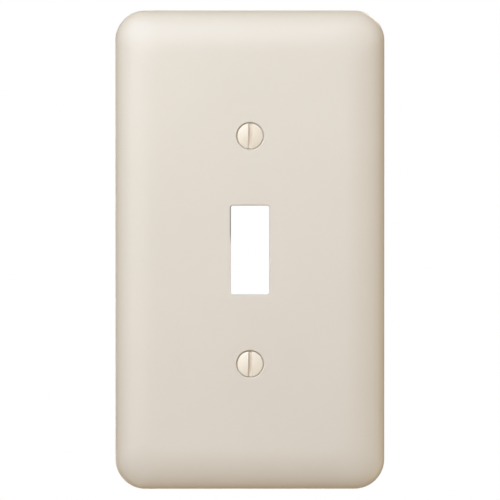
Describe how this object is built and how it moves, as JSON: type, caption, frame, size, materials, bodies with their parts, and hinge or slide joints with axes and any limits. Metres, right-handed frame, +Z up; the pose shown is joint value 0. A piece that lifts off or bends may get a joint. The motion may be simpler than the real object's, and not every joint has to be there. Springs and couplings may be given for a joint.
{
  "type": "toggle switch wall plate",
  "caption": "Almond-enamelled pressed steel wall plate with a pillowed edge, an open toggle slot and slotted oval-head screws in countersunk dimples.",
  "frame": {"origin": "centre of the toggle opening, in the plane of the wall that the rim rests on", "axes": "+Z up the wall along the plate's long side, +X to the right as seen from the room, +Y into the wall; the face looks along -Y"},
  "size_m": [0.0714, 0.0133, 0.127],
  "materials": {
    "almond_enamel": "satin baked enamel on pressed steel, light almond",
    "almond_screw_enamel": "semi-gloss light almond enamel on steel, heads painted to match the plate"
  },
  "bodies": {
    "plate": {"wall_plate": "almond_enamel"},
    "upper_screw_body": {"upper_screw": "almond_screw_enamel"},
    "lower_screw_body": {"lower_screw": "almond_screw_enamel"}
  },
  "joints": [
    {"name": "upper_screw_travel", "type": "slide", "parent": "plate", "child": "upper_screw_body", "axis": [0, -1, 0], "range_m": [0, 0.015]},
    {"name": "lower_screw_travel", "type": "slide", "parent": "plate", "child": "lower_screw_body", "axis": [0, -1, 0], "range_m": [0, 0.015]}
  ]
}
